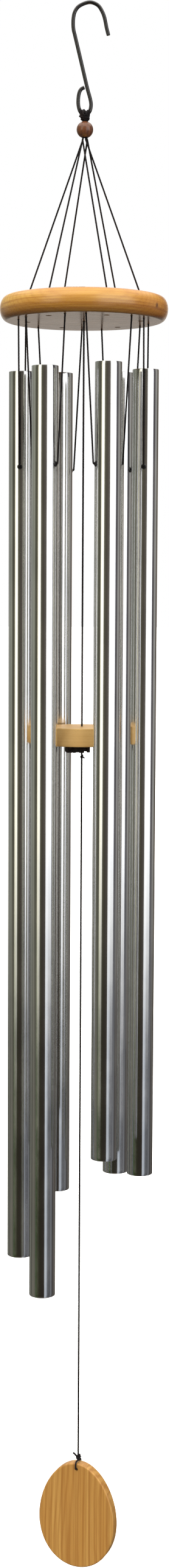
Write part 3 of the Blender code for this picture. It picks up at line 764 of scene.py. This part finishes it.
def add_hitch():
    """Turns of cord over the bottom of the eye, gathered and bound under it, with a short cut end."""
    shells = []
    hug = HOOK_WIRE_R + 1.12 * CORD_R
    rises = ((-0.0054, 0.0028), (-0.0033, 0.0011), (-0.0012, 0.0002), (0.0009, 0.0001), (0.0030, 0.0009),
             (0.0050, 0.0025))  # fmt: skip
    for k, (x, rise) in enumerate(rises):
        top = [(x * 1.04, hug * math.cos(a), EYE_Z + rise + hug * math.sin(a))
               for a in (math.radians(d) for d in range(0, 181, 36))]
        neck = 0.62 * x
        lean = 0.0006 * (-1) ** k
        low = [(0.9 * x, -0.86 * hug, EYE_Z - 0.0024), (neck, -0.0026 + lean, KNOT_Z + 0.0004),
               (neck, 0.0, KNOT_Z - 0.0014), (neck, 0.0026 + lean, KNOT_Z + 0.0004),
               (0.9 * x, 0.86 * hug, EYE_Z - 0.0024)]
        shells.append(cord_shell(smooth_route(top + low, 0.0006, closed=True), 0.00108, True, 3.0 + k))
    wraps = ((-0.0050, 0.0020, 0.0026, 0.0044), (0.0046, -0.0030, 0.0022, 0.0047),
             (-0.0014, 0.0044, 0.0030, 0.0050))
    for k, (from_x, to_x, rise, reach) in enumerate(wraps):
        mid_x, mid_z = (from_x + to_x) / 2, EYE_Z - 0.0016 + 0.0005 * k
        early_x, late_x = 0.7 * from_x + 0.3 * to_x, 0.3 * from_x + 0.7 * to_x
        loop = [(from_x, 0.0, EYE_Z + rise + 0.0022), (early_x, -0.8 * reach, mid_z + 0.0024),
                (mid_x, -reach, mid_z), (late_x, -0.7 * reach, mid_z - 0.0026), (to_x, 0.0, KNOT_Z - 0.0010),
                (late_x, 0.7 * reach, mid_z - 0.0026), (mid_x, reach, mid_z),
                (early_x, 0.8 * reach, mid_z + 0.0024)]
        shells.append(cord_shell(smooth_route(loop, 0.0006, closed=True), 0.00104, True, 17.0 + k))
    rings = ((0.0014, 0.0049, 9), (-0.0002, 0.0044, -6), (-0.0017, 0.0033, 4))
    angles = [2 * math.pi * s / 40 for s in range(40)]
    for k, (height, wide, tilt) in enumerate(rings):
        turn = Matrix.Rotation(math.radians(tilt), 3, "Y")
        flat = [Vector((wide * math.cos(a), 0.82 * wide * math.sin(a), 0.0)) for a in angles]
        loop = [turn @ p + Vector((0, 0, KNOT_Z + height)) for p in flat]
        shells.append(cord_shell(loop, CORD_R, True, 11.0 + k))
    tail = [(-0.0030, -0.0034, KNOT_Z + 0.0012), (-0.0050, -0.0034, KNOT_Z + 0.0014),
            (-0.0068, -0.0026, KNOT_Z + 0.0026)]
    shells.append(cord_shell(smooth_route(tail, 0.0005), 0.0009, seed=15.0))
    hitch = corded("hanger_hitch", joined(shells))
    settle(hitch, "hanger_loop", "cord", "hanger_loop")


def add_bead():
    """The turned bead with rounded hole edges, and the six cords twisted together through it."""
    low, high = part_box("bead")
    at, radius = (low + high) / 2, (high.x - low.x) / 2
    hole, edge = 0.0035, 0.0005
    reach = math.degrees(math.acos((hole + edge) / radius))
    outer = arc((0.0, 0.0), (radius, radius), -reach, reach, 44)
    top = outer[-1][1]
    lip = arc((hole + edge, top - edge), (edge, edge), 90, 180, 5)[1:]
    profile = outer + lip + [(r, -z) for r, z in reversed(lip)]
    bead = mesh_object("walnut_bead", *lathe(profile, 72, Matrix.Translation(at)), BEAD_WOOD)
    settle(bead, "bead", "bead_wood", "bead")

    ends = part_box("hanger_cord")
    shells = []
    start, stop = ends[1].z + 0.0006, SUPPORT_START_Z - 0.0004
    for k in TUBES:
        base = tube_angle(k)
        route = []
        for s in range(31):
            share = s / 30
            swirl = base + 0.55 * math.sin(math.pi * share)
            lead = Vector(SUPPORT_STARTS[k - 1])
            place = Vector(around(swirl, 0.00205)).lerp(lead, max(0.0, share - 0.7) / 0.3)
            route.append(Vector((*place, start + (stop - start) * share)))
        shells.append(cord_shell(route, 0.00098, seed=20.0 + k))
    bundle = corded("bead_bundle", joined(shells))
    settle(bundle, "bead", "cord", "hanger_cord")


# -------- canopy and its cords


def add_canopy():
    """The lacquered disc with its bullnose rim and every cord hole."""
    centre_z, half = (CANOPY_TOP + CANOPY_BOTTOM) / 2, (CANOPY_TOP - CANOPY_BOTTOM) / 2
    rim = arc((CANOPY_R - CANOPY_RIM, centre_z), (CANOPY_RIM, half), -90, 90, 36)
    flat = CANOPY_R - CANOPY_RIM - 0.0006
    shell = lathe([(flat, CANOPY_BOTTOM), *rim, (flat, CANOPY_TOP)], 192, closed=False)
    board = mesh_object("canopy_board", *shell, CANOPY_WOOD)
    angles = [tube_angle(k) for k in TUBES]
    cord_places = [around(a, TUBE_RING_R, t) for a in angles for t in (CORD_SPREAD_TOP, -CORD_SPREAD_TOP)]
    support_places = [around(a, SUPPORT_R) for a in angles]
    cut(board, drill(cord_places, CORD_HOLE_R, CANOPY_BOTTOM, CANOPY_TOP))
    cut(board, drill([*support_places, (0.0, 0.0)], SUPPORT_HOLE_R, CANOPY_BOTTOM, CANOPY_TOP))
    over, soft = 0.001, 0.0006
    bore = [(COUNTERBORE_R, CANOPY_BOTTOM - over), (COUNTERBORE_R, COUNTERBORE_TOP - soft),
            (COUNTERBORE_R - soft, COUNTERBORE_TOP)]
    sunk = (lathe(bore, 32, Matrix.Translation((x, y, 0)), closed=False) for x, y in support_places)
    cut(board, joined(sunk))
    settle(board, "canopy", "canopy_wood", "canopy")


def add_support_cord(index):
    """A cord from the bundle under the bead down to the canopy, knotted in its counterbore."""
    angle = tube_angle(index)
    hole = around(angle, SUPPORT_R)
    start = Vector((*SUPPORT_STARTS[index - 1], SUPPORT_START_Z))
    enter = Vector((*hole, CANOPY_TOP + CORD_R))
    route = rounded_route([start, enter, (*hole, SUPPORT_KNOT_Z + 0.002)], 6 * CORD_R)
    line = cord_piece(f"support_line_{index}", route, seed=30.0 + index)
    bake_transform(line)
    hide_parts(f"support_cord_{index}")
    knot = overhand((*hole, SUPPORT_KNOT_Z - 0.0004), 0.00105, 0.0009, 0.7 * index, 36.0 + index, 2.05)
    end = corded(f"support_knot_{index}", knot)
    settle(end, "canopy", "cord")


def add_lacing(index):
    """The cord over the top of the canopy, from this tube's hole to the next tube's."""
    here = around(tube_angle(index), TUBE_RING_R, -CORD_SPREAD_TOP)
    there = around(tube_angle(index + 1), TUBE_RING_R, CORD_SPREAD_TOP)
    low, high = CANOPY_BOTTOM - 0.0004, CANOPY_TOP + CORD_R
    corners = [(*here, low), (*here, high), (*there, high), (*there, low)]
    route = rounded_route(corners, 2 * CORD_R)
    line = cord_piece(f"lacing_line_{index}", route, seed=50.0 + index)
    settle(line, "canopy", "cord", f"canopy_lacing_{index}")


# -------- tubes

GROMMET_BORE_R = 0.0014
GROMMET_NECK_R = 0.0023
GROMMET_FLANGE_R = 0.00325
GROMMET_DOME = 0.0011
GROMMET_INNER_A = 0.0126
GROMMET_INNER_FLANGE = 0.0009
TUBE_WALL = 0.0018
CROSS_HOLE_R = 0.00265


def tube_axes(index):
    """World place of a tube's cross-holes: X away from the chime's axis, Y along the cross-hole, Z up."""
    at = middle(f"tube_{index}")
    return Matrix.Translation((at.x, at.y, CROSS_HOLE_Z)) @ Matrix.Rotation(tube_angle(index), 4, "Z")


def add_tube(index):
    """A tube with its ends' edges broken and its two cross-holes."""
    low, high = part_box(f"tube_{index}")
    radius = (high.x - low.x) / 2
    bore, edge = radius - TUBE_WALL, 0.00035
    top, bottom = high.z - CROSS_HOLE_Z, low.z - CROSS_HOLE_Z
    near_hole, near_end = 0.0045, 0.004
    outer = [bottom + edge, bottom + near_end, -near_hole, near_hole, top - near_end, top - edge]
    profile = [(radius - edge, bottom), (radius - 0.3 * edge, bottom + 0.3 * edge)]
    profile += [(radius, z) for z in outer]
    profile += [(radius - 0.3 * edge, top - 0.3 * edge), (radius - edge, top), (bore + edge, top)]
    profile += [(bore, z) for z in reversed(outer)]
    profile += [(bore + edge, bottom)]
    place = tube_axes(index)
    tube = mesh_object(f"tube_pipe_{index}", *lathe(profile, 96, place), ALUMINIUM)
    lie = place @ Matrix.Rotation(QUARTER, 4, "X")
    reach = 1.3 * radius
    hole = lathe([(CROSS_HOLE_R, -reach), (CROSS_HOLE_R, reach)], 40, lie, closed=False)
    cut(tube, hole)
    settle(tube, f"tube_{index}", "tube_aluminium", f"tube_{index}")
    return radius


def grommet_profile(radius):
    """(radius, distance from the tube's axis) round a grommet with soft edges."""
    inner = GROMMET_INNER_A + GROMMET_INNER_FLANGE
    outer = radius + GAP / 2
    soft = 0.0003
    wide = GROMMET_FLANGE_R - GROMMET_BORE_R - soft
    dome = arc((GROMMET_BORE_R + soft, outer), (wide, GROMMET_DOME), 0, 90, 9)
    lip = arc((GROMMET_BORE_R + soft, outer + GROMMET_DOME - soft), (soft, soft), 90, 180, 4)[1:]
    return [
        (GROMMET_BORE_R, GROMMET_INNER_A + soft), (GROMMET_BORE_R + soft, GROMMET_INNER_A),
        (GROMMET_FLANGE_R - soft, GROMMET_INNER_A), (GROMMET_FLANGE_R, GROMMET_INNER_A + soft),
        (GROMMET_FLANGE_R, inner - 0.00015), (GROMMET_NECK_R, inner), (GROMMET_NECK_R, outer),
        *dome, *lip,
    ]  # fmt: skip


def add_grommets(index, radius):
    """The two rubber grommets in a tube's cross-holes."""
    for side, turn in (("left", -90), ("right", 90)):
        facing = tube_axes(index) @ Matrix.Rotation(math.radians(turn), 4, "X")
        shell = lathe(grommet_profile(radius), 40, facing)
        grommet = mesh_object(f"grommet_{index}_{side}", *shell, RUBBER)
        settle(grommet, f"tube_{index}", "grommet", f"tube_{index}_grommet_{side}")


def add_tube_cord(index):
    """The cord that carries a tube: down from the canopy, through both grommets and up again."""
    place = tube_axes(index)
    top = CANOPY_BOTTOM - CROSS_HOLE_Z
    into = 0.0006
    hinge = top - HINGE_DROP
    corners = [
        (0, CORD_SPREAD_TOP, top + into), (0, CORD_SPREAD_TOP, hinge), (0, CORD_SPREAD_LOW, 0),
        (0, -CORD_SPREAD_LOW, 0), (0, -CORD_SPREAD_TOP, hinge), (0, -CORD_SPREAD_TOP, top + into),
    ]  # fmt: skip
    route = [place @ p for p in rounded_route(corners, CORD_BEND_R)]
    line = cord_piece(f"tube_line_{index}", route, seed=60.0 + index)
    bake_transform(line)
    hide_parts(f"tube_{index}_cord")


# -------- centre cord, striker and cord lock


def upright(top, bottom):
    """Points straight down the hanging axis."""
    count = max(1, round((top - bottom) / CORD_STEP))
    return [Vector((0, 0, top + (bottom - top) * k / count)) for k in range(count + 1)]


def add_centre_cord():
    """The centre cord from its knot on the canopy down past the stop knot under the cord lock."""
    knot_z = CANOPY_TOP + 0.0029
    joint_z = CANOPY_BOTTOM - HINGE_DROP
    shells = [cord_shell(upright(knot_z - 0.002, joint_z), CENTRE_CORD_R, seed=70.0)]
    shells.append(overhand((0, 0, knot_z), 0.00115, 0.00105, 0.4, 71.0, 2.05))
    stub = [(0.0002, 0.0, knot_z + 0.0022), (0.0006, -0.0002, knot_z + 0.0040),
            (0.0008, -0.0002, knot_z + 0.0060)]
    shells.append(cord_shell(smooth_route(stub, 0.0005), 0.00095, seed=72.0))
    anchor = corded("centre_anchor", joined(shells))
    settle(anchor, "canopy", "cord", "centre_cord_anchor")

    link = cord_piece("centre_link", upright(joint_z, STRIKER_SIDE_Z), CENTRE_CORD_R, seed=73.0)
    settle(link, "centre_cord_link", "cord", "centre_cord_link")

    knot = overhand((0, 0, STOP_KNOT_Z), 0.0011, 0.0011, 1.1, 74.0, 2.05)
    tail = [(0.0006, -0.0006, STOP_KNOT_Z - 0.0002), (0.0022, -0.0010, STOP_KNOT_Z - 0.0008),
            (0.0034, -0.0010, STOP_KNOT_Z - 0.0021)]  # fmt: skip
    stub = cord_shell(smooth_route(tail, 0.0005), 0.0009, seed=75.0)
    stop = corded("stop_knot", joined([knot, stub]))
    settle(stop, "striker_cord", "cord")

    route = upright(STRIKER_SIDE_Z, SAIL_FRONT_Z)
    line = cord_piece("centre_line", route, CENTRE_CORD_R, seed=76.0)
    settle(line, "striker_cord", "cord", "striker_cord")


def add_striker():
    """The pale turned striker with its rounded edges."""
    low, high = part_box("striker")
    radius, edge, hole, soft = (high.x - low.x) / 2, 0.0010, 0.0021, 0.0003
    profile = [
        (hole, low.z + soft), (hole + soft, low.z), (radius - edge - 0.0008, low.z),
        *arc((radius - edge, low.z + edge), (edge, edge), -90, 0, 9),
        *arc((radius - edge, high.z - edge), (edge, edge), 0, 90, 9),
        (radius - edge - 0.0008, high.z), (hole + soft, high.z), (hole, high.z - soft),
    ]  # fmt: skip
    board = mesh_object("striker_board", *lathe(profile, 160), STRIKER_WOOD)
    settle(board, "striker", "striker_wood", "striker")


def add_cord_lock():
    """The cord lock: a ribbed barrel with a waist, the plunger with its button, and the spring."""
    low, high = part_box("lock_barrel")
    radius, left, right = (high.y - low.y) / 2, low.x, high.x
    round_r, bore, end_wall, cord_hole = 0.0040, 0.0033, 0.0022, 0.0016
    lie = Matrix.Translation((0, 0, LOCK_Z)) @ Matrix.Rotation(QUARTER, 4, "Y")
    profile = arc((radius - round_r, left + round_r), (round_r, round_r), -90, 0, 8)
    profile[0] = (radius - round_r, left)
    for k in range(3):
        rib = left + 0.0050 + 0.0020 * k
        profile += [(radius, rib), (radius - 0.0004, rib + 0.0003), (radius - 0.0004, rib + 0.0007),
                    (radius, rib + 0.0010)]  # fmt: skip
    waist = left + 0.0130
    profile += [(radius, waist), (radius - 0.0006, waist + 0.0016), (radius - 0.0006, waist + 0.0036),
                (radius, waist + 0.0056)]  # fmt: skip
    profile += arc((radius - 0.0006, right - 0.0006), (0.0006, 0.0006), 0, 90, 4)
    profile += [(bore + 0.0003, right), (bore, right - 0.0003), (bore, left + end_wall)]
    barrel = mesh_object("lock_body", *lathe(profile, 48, lie, closed=False), PLASTIC)
    cut(barrel, drill([(0.0, 0.0)], cord_hole, LOCK_Z - radius, LOCK_Z + radius))
    settle(barrel, "cord_lock", "lock_plastic", "lock_barrel")

    low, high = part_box("lock_plunger")
    shaft, head, neck, face = 0.0029, (high.y - low.y) / 2, 0.0063, high.x
    soft = 0.0009
    profile = [(shaft - 0.0003, low.x), (shaft, low.x + 0.0003), (shaft, neck - 0.0006),
               (shaft + 0.0006, neck)]
    profile += arc((head - 0.0004, neck + 0.0004), (0.0004, 0.0004), -90, 0, 4)
    profile += arc((head - soft, face - soft), (soft, soft), 0, 90, 7)
    profile += [(head - 0.0019, face), (head - 0.0023, face - 0.0003)]
    plunger = mesh_object("lock_button", *lathe(profile, 48, lie, closed=False), PLASTIC)
    slot_r, travel = CENTRE_CORD_R + GAP, 0.0025
    outline = arc((travel, 0), (slot_r, slot_r), -90, 90, 12) + arc((0, 0), (slot_r, slot_r), 90, 270, 12)
    rings = [[Vector((x, y, LOCK_Z + s * 2 * radius)) for x, y in outline] for s in (-1, 1)]
    cut(plunger, ring_mesh(rings))
    settle(plunger, "lock_plunger", "lock_plastic", "lock_plunger")

    low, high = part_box("lock_spring")
    turns, wire_r = 5, 0.00035
    coil_r = (high.y - low.y) / 2 - wire_r
    start, stop = low.x + wire_r, high.x - wire_r
    coil = []
    steps = 32 * turns
    for k in range(steps + 1):
        a = 2 * math.pi * k * turns / steps
        x = start + (stop - start) * k / steps
        coil.append(Vector((x, coil_r * math.cos(a), LOCK_Z + coil_r * math.sin(a))))
    spring = mesh_object("lock_coil", *sweep(coil, lambda turn, along: wire_r, 12), STEEL)
    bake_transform(spring)
    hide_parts("lock_spring")


# -------- sail


def add_sail_cord():
    """The cord on down to the sail, its knot with the cut ends, and the loop through the sail."""
    link = cord_piece("sail_link", upright(SAIL_FRONT_Z, SAIL_SIDE_Z), CENTRE_CORD_R, seed=80.0)
    settle(link, "sail_cord_link", "cord", "sail_cord_link")
    route = upright(SAIL_SIDE_Z, SAIL_KNOT_Z + 0.0024)
    line = cord_piece("sail_line", route, CENTRE_CORD_R, seed=81.0)
    settle(line, "sail_cord", "cord", "sail_cord")

    shells = [overhand((0, 0, SAIL_KNOT_Z + 0.0010), 0.0018, 0.0013, 0.3, 82.0, 2.0),
              overhand((0, 0, SAIL_KNOT_Z - 0.0012), 0.0017, 0.0013, 1.9, 86.0, 1.9)]
    long_end = [(-0.0012, -0.0006, SAIL_KNOT_Z), (-0.0030, -0.0012, SAIL_KNOT_Z + 0.0028),
                (-0.0050, -0.0014, SAIL_KNOT_Z + 0.0050), (-0.0062, -0.0014, SAIL_KNOT_Z + 0.0062)]
    short_end = [(0.0010, -0.0008, SAIL_KNOT_Z + 0.0004), (0.0024, -0.0012, SAIL_KNOT_Z + 0.0010),
                 (0.0034, -0.0012, SAIL_KNOT_Z + 0.0020)]
    shells.append(cord_shell(smooth_route(long_end, 0.0005), 0.0012, seed=83.0))
    shells.append(cord_shell(smooth_route(short_end, 0.0005), 0.0011, seed=84.0))
    knot = corded("sail_tie", joined(shells))
    settle(knot, "sail_knot", "cord", "sail_knot")

    sail_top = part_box("sail")[1].z
    strand_z = SAIL_HOLE_Z + SAIL_HOLE_R - CORD_R - GAP
    half = [
        (0.0, SAIL_KNOT_Z - 0.0027 - CORD_R - GAP), (0.0060, sail_top + 2.2 * CORD_R),
        (0.0085, sail_top + 0.4 * CORD_R), (0.0088, sail_top - 3.0 * CORD_R),
        (0.0085, strand_z + 0.9 * CORD_R), (0.0056, strand_z),
    ]  # fmt: skip
    outline = half + [(-y, z) for y, z in reversed(half[1:])]
    turn = Matrix.Rotation(SAIL_YAW, 3, "Z")
    loop = [turn @ p for p in smooth_route([(0, y, z) for y, z in outline], 0.0007, closed=True)]
    tie = cord_piece("sail_tether", loop, closed=True, seed=85.0)
    settle(tie, "sail_loop", "cord", "sail_loop")


SAIL_HEIGHT = 0.1366
SAIL_WIDTH = 0.102
SAIL_THICK = 0.0135
SAIL_TAPER = 0.10
SAIL_EDGE_R = 0.0018


def sail_ring(inset, depth):
    """Points round the sail's egg outline, this far in from it and this far towards its back."""
    count, ring = 240, []
    for k in range(count):
        a = 2 * math.pi * k / count
        wide, high = SAIL_WIDTH / 2, SAIL_HEIGHT / 2
        point = Vector((wide * (1 - SAIL_TAPER * math.cos(a)) * math.sin(a), high * math.cos(a)))
        slope = wide * (math.cos(a) - SAIL_TAPER * math.cos(2 * a)), -high * math.sin(a)
        outward = Vector((-slope[1], slope[0])).normalized()
        point -= inset * outward
        ring.append(Vector((point.x, depth, point.y)))
    return ring


def add_sail():
    """The egg-shaped sail with softened edges and its hole."""
    half = SAIL_THICK / 2
    steps = 7
    rings = [sail_ring(SAIL_EDGE_R + 0.0008, -half)]
    for k in range(steps + 1):
        a = QUARTER * k / steps
        rings.append(sail_ring(SAIL_EDGE_R * (1 - math.sin(a)), -half + SAIL_EDGE_R * (1 - math.cos(a))))
    rings += [[Vector((p.x, -p.y, p.z)) for p in ring] for ring in reversed(rings)]
    points, faces = ring_mesh(rings)
    board = mesh_object("sail_board", points, faces, SAIL_WOOD)
    hole = drill([(0.0, 0.0)], SAIL_HOLE_R, -half, half, 0.0002, 40)
    centre_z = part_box("sail")[1].z - SAIL_HEIGHT / 2
    lie = Matrix.Translation((0, 0, SAIL_HOLE_Z - centre_z)) @ Matrix.Rotation(QUARTER, 4, "X")
    cut(board, ([lie @ Vector(p) for p in hole[0]], hole[1]))
    board.matrix_world = Matrix.Translation((0, 0, centre_z)) @ Matrix.Rotation(SAIL_YAW, 4, "Z")
    settle(board, "sail", "sail_wood", "sail")


add_hook()
add_hitch()
add_bead()
add_canopy()
for index in TUBES:
    add_support_cord(index)
    add_lacing(index)
    add_grommets(index, add_tube(index))
    add_tube_cord(index)
add_centre_cord()
add_striker()
add_cord_lock()
add_sail_cord()
add_sail()
